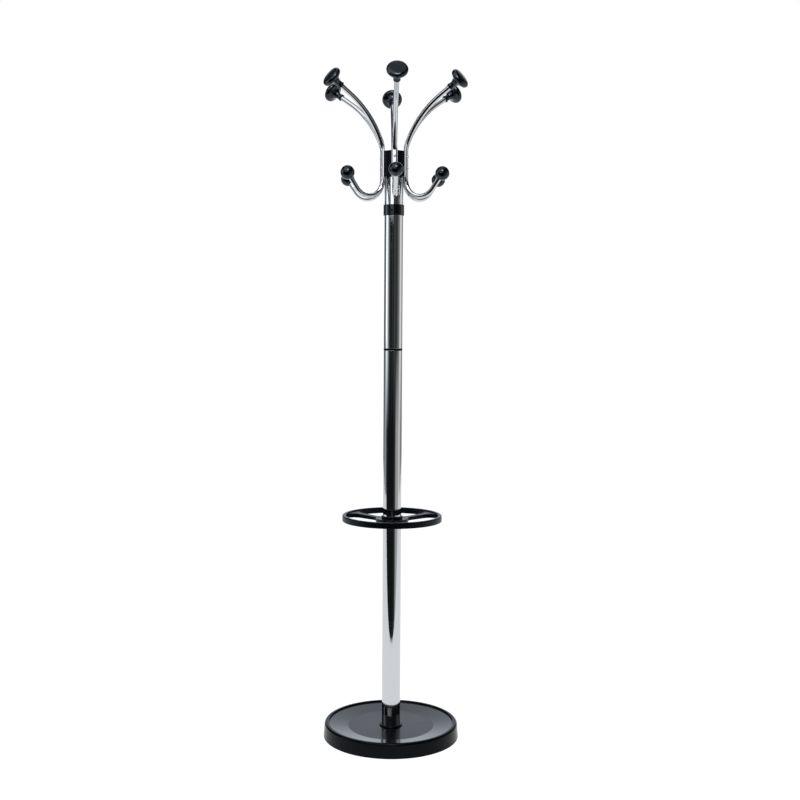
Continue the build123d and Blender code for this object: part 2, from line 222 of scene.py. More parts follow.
# Brightness of the room seen in reflections: bearing in degrees from the front, then the
# levels below, at and well above the horizon
ROOM = [
    (-180, 1.15, 1.15, 0.8),
    (-160, 1.15, 1.15, 0.8),
    (-152, 0.12, 0.1, 0.05),
    (-124, 0.12, 0.1, 0.04),
    (-116, 0.36, 0.3, 0.05),
    (-102, 0.4, 0.4, 0.04),
    (-94, 0.4, 1.3, 0.03),
    (-77, 0.05, 1.25, 0.03),
    (-69, 0.02, 0.65, 0.03),
    (-61, 0.015, 0.36, 0.03),
    (-50, 0.01, 0.06, 0.03),
    (-34, 0.01, 0.02, 0.03),
    (-20, 0.01, 0.012, 0.03),
    (-10, 0.01, 0.045, 0.03),
    (0, 0.01, 0.012, 0.03),
    (12, 0.015, 0.06, 0.03),
    (22, 0.02, 0.07, 0.03),
    (33, 0.06, 0.03, 0.03),
    (42, 0.4, 0.05, 0.03),
    (54, 0.42, 0.09, 0.04),
    (66, 0.42, 0.2, 0.05),
    (80, 0.6, 0.34, 0.05),
    (88, 0.9, 0.75, 0.04),
    (102, 0.55, 1.0, 0.03),
    (114, 0.3, 0.66, 0.03),
    (128, 0.2, 0.4, 0.03),
    (152, 0.12, 0.1, 0.04),
    (160, 1.15, 1.15, 0.8),
    (180, 1.15, 1.15, 0.8),
]

# Soft lights: name, width and height in metres, bearing and elevation in degrees, distance in
# metres and brightness
SOFTBOXES = [
    ("key_softbox", 2.3, 2.0, -36, 48, 2.2, 1.5),
    ("beauty_dish", 0.7, 0.7, 4, 42, 2.2, 12.0),
    ("front_fill", 2.37, 0.44, -15.5, 16.5, 2.6, 1.78),
    ("low_front_fill", 1.7, 0.17, -21, 9.9, 2.6, 1.9),
    ("left_strip", 0.45, 2.1, -92, 16, 2.7, 1.4),
    ("top_softbox", 1.5, 1.2, 20, 78, 2.2, 0.5),
]

# Height that the soft lights face, in metres
AIM_HEIGHT = 1.3

# Tint of the light that polished black plastics give back
COOL_SHEEN = (0.77, 0.87, 1.0, 1.0)

# Line of an arm, in its own plane along +X


def leaning(tilt):
    """Direction that leans outwards from straight up by an angle."""
    return Vector((sin(tilt), 0, cos(tilt)))


def hub_heights():
    """Lowest and highest height of the hub's body, in millimetres."""
    return heights("head_tube")[1], heights("arm_hub")[1]


def flat_ends():
    """Heights where an arm's flattened stretch begins and ends, just past the hub."""
    low, high = hub_heights()
    return low - FLAT_MARGIN, high + FLAT_MARGIN


def hook_start():
    """Height where the round tube of the hook starts below the flattened stretch."""
    return flat_ends()[0] - HOOK_DROP


def hook_end():
    """Where the hook's tube ends in the ball, and how far it leans there."""
    tilt = pi - HOOK_TURN
    centre = Vector((ARM_CIRCLE + HOOK_RADIUS, 0, hook_start()))
    bend_end = centre - HOOK_RADIUS * Vector((cos(HOOK_TURN), 0, sin(HOOK_TURN)))
    return bend_end + leaning(tilt) * HOOK_STRAIGHT, tilt


def reach_centre():
    """Centre of the long upper bend."""
    start = Vector((ARM_CIRCLE + SWEEP_RADIUS, 0, flat_ends()[1]))
    outwards = Vector((cos(SWEEP_TURN), 0, -sin(SWEEP_TURN)))
    return start + outwards * (REACH_RADIUS - SWEEP_RADIUS)


def sweep_end():
    """Where the upper tube ends in the knob, and how far it leans there."""
    tilt = SWEEP_TURN + REACH_TURN
    elbow = reach_centre() + REACH_RADIUS * Vector((-cos(tilt), 0, sin(tilt)))
    return elbow + leaning(tilt) * REACH_STRAIGHT, tilt


# Outlines and modelling steps


def rounded(corners, steps=6, closed=False):
    """Points of an outline whose (x, z, radius) corners are rounded, all but its two ends."""
    if closed:
        return rounded([*corners, corners[0]], steps)[:-1]
    points = [Vector(corners[0][:2])]
    for before, corner, after in zip(corners, corners[1:], corners[2:]):
        here = Vector(corner[:2])
        back = (Vector(before[:2]) - here).normalized()
        ahead = (Vector(after[:2]) - here).normalized()
        half_turn = back.angle(ahead) / 2
        if corner[2] == 0:
            points.append(here)
            continue
        reach = corner[2] / tan(half_turn)
        centre = here + (back + ahead).normalized() * corner[2] / sin(half_turn)
        start = here + back * reach - centre
        end = here + ahead * reach - centre
        first = atan2(start.y, start.x)
        turn = (atan2(end.y, end.x) - first + pi) % (2 * pi) - pi
        for step in range(steps + 1):
            angle = first + turn * step / steps
            points.append(centre + corner[2] * Vector((cos(angle), sin(angle))))
    points.append(Vector(corners[-1][:2]))
    return [(point.x * MM, point.y * MM) for point in points]


def arc(centre, radius, first, last, steps=12):
    """Points of an arc in the (x, z) plane, with angles in degrees and sizes in millimetres."""
    angles = [radians(first + (last - first) * step / steps) for step in range(steps + 1)]
    return [
        ((centre[0] + radius * cos(a)) * MM, (centre[1] + radius * sin(a)) * MM)
        for a in angles
    ]


def arc_through(first, middle, last, steps=12):
    """Points of the arc in the (x, z) plane through three points given in millimetres."""
    a, b, c = Vector(first), Vector(middle), Vector(last)
    ab, ac = b - a, c - a
    cross = 2 * (ab.x * ac.y - ab.y * ac.x)
    centre = a + Vector(
        (
            (ac.y * ab.length_squared - ab.y * ac.length_squared) / cross,
            (ab.x * ac.length_squared - ac.x * ab.length_squared) / cross,
        )
    )
    start, end = a - centre, c - centre
    turn = -start.angle_signed(end)
    if cross * turn < 0:
        turn += 2 * pi if cross > 0 else -2 * pi
    start_angle = atan2(start.y, start.x)
    return arc(centre, start.length, degrees(start_angle), degrees(start_angle + turn), steps)


def deselect():
    """Leaves edit mode and selects nothing."""
    if bpy.context.object and bpy.context.object.mode == "EDIT":
        bpy.ops.object.mode_set(mode="OBJECT")
    bpy.ops.object.select_all(action="DESELECT")


def take(piece):
    """Selects one piece and nothing else, and makes it the active one."""
    deselect()
    piece.select_set(True)
    bpy.context.view_layer.objects.active = piece


def draw_out(step):
    """Extrudes what is selected by a step in metres."""
    bpy.ops.mesh.extrude_region_move(TRANSFORM_OT_translate={"value": step})


def start_line(points, closed):
    """Starts a mesh in edit mode with a line drawn through (x, z) points."""
    deselect()
    bpy.ops.mesh.primitive_plane_add(size=1, enter_editmode=True)
    bpy.ops.mesh.merge(type="CENTER")
    bpy.ops.transform.translate(value=(points[0][0], 0, points[0][1]))
    for here, there in zip(points, points[1:]):
        draw_out((there[0] - here[0], 0, there[1] - here[1]))
    if closed:
        mesh = bpy.context.object.data
        last = len(points) - 1
        bpy.ops.object.mode_set(mode="OBJECT")
        for index in (0, last):
            mesh.vertices[index].select = True
        bpy.ops.object.mode_set(mode="EDIT")
        bpy.ops.mesh.edge_face_add()
    bpy.ops.mesh.select_all(action="SELECT")


def close_up():
    """Turns the faces in edit mode outwards, leaves edit mode and gives the piece."""
    bpy.ops.mesh.select_all(action="SELECT")
    bpy.ops.mesh.normals_make_consistent(inside=False)
    bpy.ops.object.mode_set(mode="OBJECT")
    return bpy.context.object


def lathe(name, points, facets, closed=True):
    """Turns an outline of (radius, height) points once around the Z axis."""
    start_line(points, closed)
    bpy.ops.mesh.spin(steps=facets, angle=2 * pi, center=(0, 0, 0), axis=(0, 0, 1))
    bpy.ops.mesh.select_all(action="SELECT")
    bpy.ops.mesh.remove_doubles(threshold=1e-6)
    piece = close_up()
    piece.name = name
    piece.data.name = name
    return piece


def select_where(test):
    """Selects the points of the mesh in edit mode whose place passes a test."""
    bpy.ops.object.mode_set(mode="OBJECT")
    mesh = bpy.context.object.data
    for item in [*mesh.vertices, *mesh.edges, *mesh.polygons]:
        item.select = False
    for vertex in mesh.vertices:
        vertex.select = test(vertex.co)
    bpy.ops.object.mode_set(mode="EDIT")
    bpy.ops.mesh.select_mode(type="VERT")


def edit_merged(piece, within):
    """Takes a piece into edit mode with its points merged within a distance in millimetres."""
    take(piece)
    bpy.ops.object.mode_set(mode="EDIT")
    bpy.ops.mesh.select_mode(type="VERT")
    bpy.ops.mesh.select_all(action="SELECT")
    bpy.ops.mesh.remove_doubles(threshold=within * MM)


def pick_sharp_edges(sharpness):
    """Selects nothing but the edges in edit mode that are sharper than an angle in degrees."""
    bpy.ops.mesh.select_mode(type="EDGE")
    bpy.ops.mesh.select_all(action="DESELECT")
    bpy.ops.mesh.edges_select_sharp(sharpness=radians(sharpness))


def copied(piece, name):
    """A copy of a piece with a mesh of its own."""
    copy = piece.copy()
    copy.data = piece.data.copy()
    copy.name = name
    copy.data.name = name
    bpy.context.scene.collection.objects.link(copy)
    return copy


def trimmed(node, name, edge_radius, facets):
    """A node's own shape, its points merged and its sharp edges rounded."""
    piece = copied(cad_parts[node], name)
    piece.parent = None
    for key in list(piece.keys()):
        del piece[key]
    edit_merged(piece, 0.002)
    bpy.ops.mesh.customdata_custom_splitnormals_clear()
    bpy.ops.mesh.dissolve_limited(angle_limit=radians(0.3))
    pick_sharp_edges(40)
    bpy.ops.mesh.bevel(offset=edge_radius * MM, segments=facets, clamp_overlap=True)
    bpy.ops.mesh.select_mode(type="VERT")
    bpy.ops.object.mode_set(mode="OBJECT")
    return piece


def smooth(piece):
    """Shades a piece smooth but for its sharp edges, with its wide faces true to their shape."""
    take(piece)
    bpy.ops.object.shade_smooth_by_angle(angle=radians(35))
    weighted = piece.modifiers.new("weighted", "WEIGHTED_NORMAL")
    weighted.keep_sharp = True
    bpy.ops.object.modifier_apply(modifier=weighted.name)


def settle(piece):
    """Applies a piece's own place, turn and size, so that they lie in its mesh."""
    take(piece)
    bpy.ops.object.transform_apply(location=True, rotation=True, scale=True)


def set_on_head(piece, index, place, tilt, roll=0):
    """Stands a piece made around Z in an arm's plane, rolled and then leaning outwards."""
    piece.matrix_world = (
        Matrix.Rotation(head_angle(index), 4, "Z")
        @ Matrix.Translation(place)
        @ Matrix.Rotation(tilt, 4, "Y")
        @ Matrix.Rotation(roll, 4, "Z")
    )
    settle(piece)


def dress(piece, body, build, node):
    """Shades a finished piece smooth, gives it its finish and its body, and hides the node it
    stands for.
    """
    smooth(piece)
    piece.data.materials.clear()
    piece.data.materials.append(finish(build))
    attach(piece, body)
    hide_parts(node)


def repeat_on_head(patterns, ending, build):
    """Dresses a copy of each (pattern, node, place, tilt) on every arm, and drops the patterns."""
    for index, side in enumerate(PLACES):
        for pattern, node, place, tilt in patterns:
            piece = copied(pattern, f"{node}_{side}_{ending}")
            set_on_head(piece, index, place, tilt)
            dress(piece, "head", build, f"{node}_{side}")
    for pattern, *_ in patterns:
        bpy.data.objects.remove(pattern)


def head_angle(index):
    """Direction of an arm around the mast, in radians from +X."""
    return bpy.context.scene.rack_sizes.head_turn - pi / 2 + index * pi / 3


# Materials


def add(material, kind, settings=(), links=()):
    """Adds a node, sets its values and stops, and links its inputs as (input, node, output)."""
    node = material.node_tree.nodes.new(kind)
    for name, value in dict(settings).items():
        if name == "stops":
            ramp = node.color_ramp.elements
            while len(ramp) < len(value):
                ramp.new(0.5)
            for stop, (position, *colour) in zip(ramp, value):
                stop.position = position
                stop.color = (*colour, 1)
        elif isinstance(name, int) or name in node.inputs:
            node.inputs[name].default_value = value
        else:
            setattr(node, name, value)
    for socket, source, output in links:
        material.node_tree.links.new(source.outputs[output], node.inputs[socket])
    return node


def blank(name, colour, roughness, **sockets):
    """A node material with its shader's constant values set."""
    material = bpy.data.materials.new(name)
    material.use_nodes = True
    shader = next(n for n in material.node_tree.nodes if n.type == "BSDF_PRINCIPLED")
    shader.inputs["Base Color"].default_value = (*colour, 1)
    shader.inputs["Roughness"].default_value = roughness
    for socket, value in sockets.items():
        shader.inputs[socket.replace("_", " ")].default_value = value
    return material, shader


def link(material, source, output, target, socket):
    """Links one node's output to another node's input."""
    material.node_tree.links.new(source.outputs[output], target.inputs[socket])


def per_metre(size_mm):
    """Noise scale that gives features of a size in millimetres."""
    return 1000 / size_mm


def finish(build):
    """The material that a function makes, made the first time it is asked for."""
    return bpy.data.materials.get(build.__name__) or build(build.__name__)


def uneven_gloss(material, shader, size_mm, smoothest, roughest, start=0.0, end=1.0, **noise):
    """Dulls a finish in patches of a size in millimetres; start and end trim the noise."""
    place = add(material, "ShaderNodeTexCoord")
    patches = add(
        material,
        "ShaderNodeTexNoise",
        {"Scale": per_metre(size_mm), **noise},
        [("Vector", place, "Object")],
    )
    rough = add(
        material,
        "ShaderNodeMapRange",
        {"From Min": start, "From Max": end, "To Min": smoothest, "To Max": roughest},
        [("Value", patches, "Fac")],
    )
    link(material, rough, "Result", shader, "Roughness")


def fine_relief(material, shader, size_mm, height_mm, strength, squeeze=(1, 1, 1), **noise):
    """Raises grains of a size and a height in millimetres, drawn out where squeeze is below 1."""
    place = add(material, "ShaderNodeTexCoord")
    drawn_out = add(
        material, "ShaderNodeMapping", {"Scale": squeeze}, [("Vector", place, "Object")]
    )
    grains = add(
        material,
        "ShaderNodeTexNoise",
        {"Scale": per_metre(size_mm), **noise},
        [("Vector", drawn_out, "Vector")],
    )
    bump = add(
        material,
        "ShaderNodeBump",
        {"Strength": strength, "Distance": height_mm * MM},
        [("Height", grains, "Fac")],
    )
    link(material, bump, "Normal", shader, "Normal")


def clouded_colour(material, shader, size_mm, first, second, start=0.0, end=1.0, **noise):
    """Clouds a finish between two hex colours, in patches of a size in millimetres."""
    place = add(material, "ShaderNodeTexCoord")
    clouds = add(
        material,
        "ShaderNodeTexNoise",
        {"Scale": per_metre(size_mm), **noise},
        [("Vector", place, "Object")],
    )
    share = add(
        material,
        "ShaderNodeMapRange",
        {"From Min": start, "From Max": end},
        [("Value", clouds, "Fac")],
    )
    colour = add(
        material,
        "ShaderNodeMix",
        {"data_type": "RGBA", 6: (*linear(first), 1), 7: (*linear(second), 1)},
        [("Factor", share, "Result")],
    )
    link(material, colour, 2, shader, "Base Color")


def chrome_plate_on_drawn_tube(name):
    """Bright chrome over drawn steel tube."""
    # A mirror: its reflections waver slightly along the tube and haze where it was polished.
    colours = bpy.context.scene.rack_colours
    material, shader = blank(name, colours.chrome, 0.04, Metallic=1.0)
    fine_relief(material, shader, 18, 0.1, 0.5, squeeze=(1, 1, 0.12), Detail=1.0)
    uneven_gloss(material, shader, 25, 0.04, 0.09, start=0.35, end=0.75, Detail=6.0)
    return material


def bright_nickel_on_screws(name):
    """Pressed steel screws with bright nickel plate."""
    # Duller than the tube, with soft marks from tumbling.
    material, shader = blank(name, linear("#c4c3c1"), 0.2, Metallic=1.0)
    uneven_gloss(material, shader, 0.8, 0.12, 0.3, Detail=3.0)
    fine_relief(material, shader, 0.8, 0.02, 0.3, Detail=3.0)
    return material


def moulded_abs(name, smoothest, roughest, grain_mm, grain_height, level):
    """Injection-moulded black ABS, as smooth as that part of its mould was finished."""
    colours = bpy.context.scene.rack_colours
    material, shader = blank(name, colours.moulding, roughest, IOR=1.5, Specular_IOR_Level=level)
    uneven_gloss(
        material, shader, 45, smoothest, roughest, start=0.3, end=0.7, Detail=5.0, Roughness=0.6
    )
    fine_relief(material, shader, grain_mm, grain_height, 0.5, Detail=2.0)
    return material


def cooled_black(name, colour, roughness, index, level=0.5):
    """A black that cools what it mirrors, with its index and strength of reflection."""
    colour = getattr(bpy.context.scene.rack_colours, colour)
    cool = {"Specular_IOR_Level": level, "Specular_Tint": COOL_SHEEN}
    return blank(name, colour, roughness, IOR=index, **cool)


def satin_abs_skirt(name):
    """ABS from a stoned mould: the skirt and the rolled rim of the base."""
    # Satin black that stays dark from the front and pales where it is seen edge on.
    return moulded_abs(name, 0.14, 0.22, 6.0, 0.03, 0.08)


def polished_abs_tray(name):
    """ABS from a polished mould: the sloping drip tray."""
    # Shines like a wet surface, so the mast is mirrored in it.
    return moulded_abs(name, 0.09, 0.17, 9.0, 0.04, 0.5)


def spark_eroded_abs_disc(name):
    """ABS from a spark-eroded mould: the flat centre of the base."""
    # Scatters what it mirrors. Its grain of 0.5 mm is drawn twice as coarse so that it shows.
    return moulded_abs(name, 0.2, 0.28, 1.0, 0.04, 0.22)


def moulded_polypropylene(name):
    """Black polypropylene: the umbrella ring and the mast's trim rings."""
    # A waxy half gloss with faint flow marks from the mould.
    material, shader = cooled_black(name, "moulding", 0.32, 1.49, 0.14)
    uneven_gloss(material, shader, 30, 0.24, 0.4, Detail=4.0, Distortion=1.5)
    fine_relief(material, shader, 1.5, 0.05, 0.12, Detail=2.0)
    return material


def moulded_nylon_hub(name):
    """Glass-filled black nylon: the hub, its cap and the plugs in the tubes."""
    # Satin, with a fine pebble from the glass fibres under the skin.
    material, shader = cooled_black(name, "moulding", 0.26, 1.53, 0.1)
    uneven_gloss(material, shader, 22, 0.2, 0.32, Detail=3.0)
    fine_relief(material, shader, 1.2, 0.05, 0.2, Detail=3.0)
    return material


def polished_phenolic(name):
    """Tumble-polished black phenolic: the knobs and the balls."""
    # A deep gloss that softens highlights and cools them, with a slight orange peel.
    material, shader = cooled_black(name, "gloss", 0.12, 1.6, 0.38)
    uneven_gloss(material, shader, 16, 0.1, 0.19, Detail=4.0)
    fine_relief(material, shader, 4, 0.03, 0.06, Detail=1.0)
    return material


def lacquered_band(name):
    """Black lacquer on the collar."""
    # The glossiest black of the rack, almost a dark mirror with a cool sheen.
    material, shader = cooled_black(name, "gloss", 0.1, 1.5)
    uneven_gloss(material, shader, 9, 0.06, 0.16, Detail=3.0)
    fine_relief(material, shader, 9, 0.05, 0.15, Detail=3.0)
    return material


def sand_cast_iron(name):
    """Grey iron as it leaves the sand mould."""
    # Dark and coarse, with sand pits and a brown bloom where it has started to rust.
    material, shader = blank(name, linear("#4a4744"), 0.75, Metallic=0.6)
    fine_relief(material, shader, 1.5, 0.4, 0.8, Detail=5.0, Roughness=0.7)
    clouded_colour(
        material, shader, 35, "#4a4744", "#5b4030", start=0.5, end=0.7, Detail=6.0, Roughness=0.65
    )
    return material


def stove_enamelled_sheet(name):
    """Black stove enamel on the steel sheet under the base."""
    # Half gloss with a fine peel, and duller where the feet were fitted.
    material, shader = blank(name, linear("#1b1b1d"), 0.45, IOR=1.5)
    uneven_gloss(material, shader, 60, 0.35, 0.6, Detail=5.0)
    fine_relief(material, shader, 2.5, 0.1, 0.3, Detail=2.0)
    return material


def moulded_rubber(name):
    """Black rubber pads."""
    # Matt and slightly grey, with dust in the pores.
    material, shader = blank(name, linear("#222223"), 0.85, IOR=1.52)
    clouded_colour(material, shader, 0.9, "#1e1e1f", "#3a3a39", start=0.45, end=0.7, Detail=3.0)
    fine_relief(material, shader, 0.9, 0.1, 0.4, Detail=3.0)
    return material


def zinc_plated_steel(name):
    """Zinc plate on the bolts, washers and the spindle."""
    # Pale grey metal, patchy and satin, with fine turning marks.
    material, shader = blank(name, linear("#b9bcbd"), 0.35, Metallic=1.0)
    clouded_colour(material, shader, 6, "#a3a6a8", "#c9c8bd", Detail=5.0)
    uneven_gloss(material, shader, 6, 0.25, 0.48, Detail=5.0)
    fine_relief(material, shader, 0.5, 0.02, 0.2, squeeze=(0.15, 0.15, 1), Detail=1.0)
    return material


def blacked_steel_screw(name):
    """Black oxide on the hardened grub screw."""
    # Nearly black and oily, a little browner where the key has rubbed the socket.
    material, shader = blank(name, linear("#1c1b1a"), 0.4, Metallic=0.85)
    uneven_gloss(material, shader, 0.6, 0.3, 0.55, Detail=3.0)
    clouded_colour(material, shader, 0.6, "#151516", "#262320", Detail=3.0)
    return material


def natural_nylon(name):
    """Undyed nylon of the swivel's bush and slip washer."""
    # Milky, as light sinks in a little, with a machined sheen.
    material, shader = blank(
        name, linear("#e4e0d2"), 0.4, IOR=1.53, Subsurface_Weight=0.15, Subsurface_Scale=0.002
    )
    uneven_gloss(material, shader, 5, 0.32, 0.5, Detail=3.0)
    fine_relief(material, shader, 5, 0.05, 0.1, Detail=3.0)
    return material


# Pieces


class RACK_OT_base(bpy.types.Operator):
    """Models the base cover with its rolled rim, drip tray and flat centre"""

    bl_idname = "rack.base"
    bl_label = "Base"

    def execute(self, context):
        sizes = context.scene.rack_sizes
        edge = sizes.base_radius / MM
        corners = [
            (COVER_BOLT_HOLE, DISC_TOP - COVER_WALL, 0),
            (COVER_BOLT_HOLE, DISC_TOP, 0),
            (edge - DISC_INSET, DISC_TOP, 12.0),
            (edge - TRAY_INSET, TRAY_TOP, 2.0),
            (edge - 13.9, RIM_TOP, 3.6),
            (edge - 3.2, RIM_TOP, 6.0),
            (edge, COVER_BOTTOM, 0.7),
            (edge - COVER_WALL, COVER_BOTTOM, 0.7),
            (edge - 5.4, RIM_TOP - 2.8, 3.5),
            (edge - 13.0, RIM_TOP - 2.8, 2.5),
            (edge - 16.0, TRAY_TOP - 2.7, 1.5),
            (edge - 66.0, 26.7, 0),
            (edge - 70.0, DISC_TOP - COVER_WALL, 0),
        ]
        outline = rounded(corners, closed=True)
        cover = lathe("base_cover_shell", outline, 192)
        dress(cover, "stand", satin_abs_skirt, "base_cover")
        cover.data.materials.append(finish(polished_abs_tray))
        cover.data.materials.append(finish(spark_eroded_abs_disc))
        for face in cover.data.polygons:
            if face.normal.z > 0.5 and face.center.z > (DISC_TOP - 0.6) * MM:
                from_axis = face.center.xy.length / MM
                if from_axis < edge - DISC_INSET:
                    face.material_index = 2
                elif from_axis < edge - TRAY_INSET - 0.2:
                    face.material_index = 1
        return {"FINISHED"}


class RACK_OT_mast(bpy.types.Operator):
    """Models the chromed tubes of the mast and the trim between them"""

    bl_idname = "rack.mast"
    bl_label = "Mast"

    def execute(self, context):
        sizes = context.scene.rack_sizes
        outer = sizes.mast_radius / MM
        inner = outer - TUBE_WALL
        for node in ("lower_tube", "middle_tube", "upper_tube", "head_tube"):
            bottom, top = heights(node)
            corners = [
                (inner, (bottom + top) / 2, 0),
                (inner, bottom, 0.2),
                (outer, bottom, 0.4),
                (outer, top, 0.4),
                (inner, top, 0.2),
            ]
            outline = rounded(corners, 3, closed=True)
            tube = lathe(f"{node}_chromed", outline, sizes.facets)
            body = "head" if node == "head_tube" else "stand"
            dress(tube, body, chrome_plate_on_drawn_tube, node)

        low, high = heights("tube_joiner")
        bottom, top = heights("middle_tube")[1], heights("upper_tube")[0]
        plug = inner - 2 * FIT_GAP
        core = plug - JOINER_WALL
        corners = [
            (0, bottom + 1, 0),
            (core, bottom + 1, 0.5),
            (core, low, 0.3),
            (plug, low, 2.0),
            (plug, bottom, 0),
            (outer, bottom, 0.7),
            (outer, top, 0.7),
            (plug, top, 0),
            (plug, high, 2.0),
            (core, high, 0.3),
            (core, top - 1, 0.5),
            (0, top - 1, 0),
        ]
        outline = rounded(corners, 3)
        joiner = lathe("tube_joiner_turned", outline, sizes.facets, closed=False)
        dress(joiner, "stand", moulded_polypropylene, "tube_joiner")

        bottom, top = heights("foot_ring")
        edge = half_width("foot_ring") / MM
        corners = [
            (outer + FIT_GAP, bottom, 0),
            (edge, bottom, 0.2),
            (edge, top, 2.4),
            (outer + FIT_GAP, top, 0.3),
        ]
        outline = rounded(corners, closed=True)
        ring = lathe("foot_ring_turned", outline, sizes.facets)
        dress(ring, "stand", moulded_polypropylene, "foot_ring")

        collar = trimmed("swivel_collar", "swivel_collar_polished", 0.5, 3)
        dress(collar, "stand", lacquered_band, "swivel_collar")
        return {"FINISHED"}


def fuse(piece, other, operation):
    """Joins another solid to a piece or cuts it out, and removes the other."""
    take(piece)
    boolean = piece.modifiers.new("fuse", "BOOLEAN")
    boolean.operation = operation
    boolean.solver = "EXACT"
    boolean.object = other
    bpy.ops.object.modifier_apply(modifier=boolean.name)
    bpy.data.objects.remove(other)


def prism(outline, depth):
    """A slab with an outline of (x, z) points, its thickness equal on both sides of Y 0."""
    start_line(outline, closed=True)
    bpy.ops.mesh.edge_face_add()
    bpy.ops.transform.translate(value=(0, depth / 2 * MM, 0))
    draw_out((0, -depth * MM, 0))
    return close_up()


def opening_outline(edge):
    """Plan of the opening between a spoke along +X and the next one, up to a radius."""
    half = SPOKE_WIDTH / 2
    flare = (sqrt((edge - SPOKE_FLARE) ** 2 - (half + SPOKE_FLARE) ** 2), half + SPOKE_FLARE)
    hub = RING_DISH_RADIUS + SPOKE_CORNER
    corner = (sqrt(hub**2 - (half + SPOKE_CORNER) ** 2), half + SPOKE_CORNER)
    flare_angle = degrees(atan2(flare[1], flare[0]))
    corner_angle = degrees(atan2(corner[1], corner[0]))
    side = arc(flare, SPOKE_FLARE, flare_angle, -90)
    side += arc(corner, SPOKE_CORNER, -90, corner_angle - 180)
    turn = radians(120)
    far_side = [
        (x * cos(turn) + y * sin(turn), x * sin(turn) - y * cos(turn)) for x, y in side[::-1]
    ]
    dish = arc((0, 0), RING_DISH_RADIUS, corner_angle, 120 - corner_angle, 20)[1:-1]
    rim = arc((0, 0), edge, 120 - flare_angle, flare_angle, 40)[1:-1]
    return side + dish + far_side + rim


def ring_core(bottom, top, inner):
    """The ring's hub with a shallow cone around it, cut into a dish and three hollow spokes."""
    bore = bpy.context.scene.rack_sizes.mast_radius / MM + FIT_GAP
    dish_bottom, dish_top = bottom - RING_DISH_DROP, bottom + RING_DISH_RISE
    spoke_top = top - SPOKE_DROP
    slope, edge = RING_DISH_RADIUS + 1.5, inner + RING_WALL / 2
    corners = [
        (bore, bottom + RING_SEAT + 1, 0),
        (bore, top - RING_BOSS_DROP, 0.3),
        (RING_BOSS_RADIUS, top - RING_BOSS_DROP, 1.6),
        (RING_BOSS_RADIUS, dish_top, 0.8),
        (slope, dish_top, 0),
        (edge, spoke_top, 0),
        (edge, bottom + 1.2, 0),
        (slope, dish_bottom, 0),
        (bore, dish_bottom, 0.3),
        (bore, bottom, 0),
        (bore - 1, bottom, 0),
        (bore - 1, bottom + RING_SEAT, 0),
        (bore, bottom + RING_SEAT, 0),
    ]
    outline = rounded(corners, 4, closed=True)
    core = lathe("umbrella_ring_moulded", outline, 96)
    hollow = [
        (RING_DISH_RADIUS + 8, dish_bottom - 1),
        (edge - 2 * RING_WALL, dish_bottom - 1),
        (edge - 2 * RING_WALL, spoke_top - RING_WALL - 0.6),
        (RING_DISH_RADIUS + 8, dish_top - RING_WALL),
    ]
    hollow = [(x * MM, z * MM) for x, z in hollow]
    lift = Matrix.Translation((0, 0, (bottom + top) / 2 * MM))
    for angle in SPOKE_ANGLES:
        spin = Matrix.Rotation(radians(angle), 4, "Z")
        opening = prism(opening_outline(inner + 0.5), 60)
        opening.matrix_world = spin @ lift @ Matrix.Rotation(radians(-90), 4, "X")
        channel = prism(hollow, SPOKE_WIDTH - 2 * RING_WALL)
        channel.matrix_world = spin
        for cutter in (opening, channel):
            settle(cutter)
            fuse(core, cutter, "DIFFERENCE")
    return core


def round_rims(piece, size, low, inner, outer):
    """Rounds a piece's sharp edges above a height and between two radii, in millimetres."""
    edit_merged(piece, 0.2)
    pick_sharp_edges(60)
    bpy.ops.object.mode_set(mode="OBJECT")
    mesh = piece.data
    for edge in mesh.edges:
        ends = [mesh.vertices[index].co / MM for index in edge.vertices]
        inside = all(end.z > low and inner < end.xy.length < outer for end in ends)
        edge.select = edge.select and inside
    bpy.ops.object.mode_set(mode="EDIT")
    bpy.ops.mesh.bevel(offset=size * MM, segments=3, loop_slide=False)
    bpy.ops.mesh.select_mode(type="VERT")
    bpy.ops.object.mode_set(mode="OBJECT")


class RACK_OT_umbrella_ring(bpy.types.Operator):
    """Models the umbrella ring with its three spokes and its hub"""

    bl_idname = "rack.umbrella_ring"
    bl_label = "Umbrella Ring"

    def execute(self, context):
        outer = context.scene.rack_sizes.ring_radius / MM
        inner = outer - RING_BAND
        bottom, top = heights("lower_tube")[1], heights("umbrella_ring")[1]
        ring = ring_core(bottom, top, inner)
        round_rims(ring, 1.0, bottom + 3, RING_BOSS_RADIUS + 2, inner + 1)
        corners = [
            (outer, (bottom + top) / 2, 0),
            (outer, top, 3.0),
            (inner, top, 3.0),
            (inner, bottom, 1.0),
            (inner + RING_WALL, bottom, 0.5),
            (inner + RING_WALL, top - RING_ROOF, 0.8),
            (outer - RING_WALL, top - RING_ROOF, 0.8),
            (outer - RING_WALL, bottom, 0.5),
            (outer, bottom, 1.0),
        ]
        band = rounded(corners, closed=True)
        fuse(ring, lathe("ring_band", band, 192), "UNION")
        dress(ring, "stand", moulded_polypropylene, "umbrella_ring")
        return {"FINISHED"}


def swell(place, old, new):
    """Scales the selected ring of an arm about its middle, from one (depth, width) to another."""
    depth, width = new[0] / old[0], new[1] / old[1]
    bpy.ops.transform.resize(value=(depth, width, depth), center_override=place)


def bend(centre, angle, steps=1):
    """Bends the open end of an arm's tube around a centre in millimetres."""
    bpy.ops.mesh.spin(steps=steps, angle=angle, center=centre * MM, axis=(0, -1, 0))


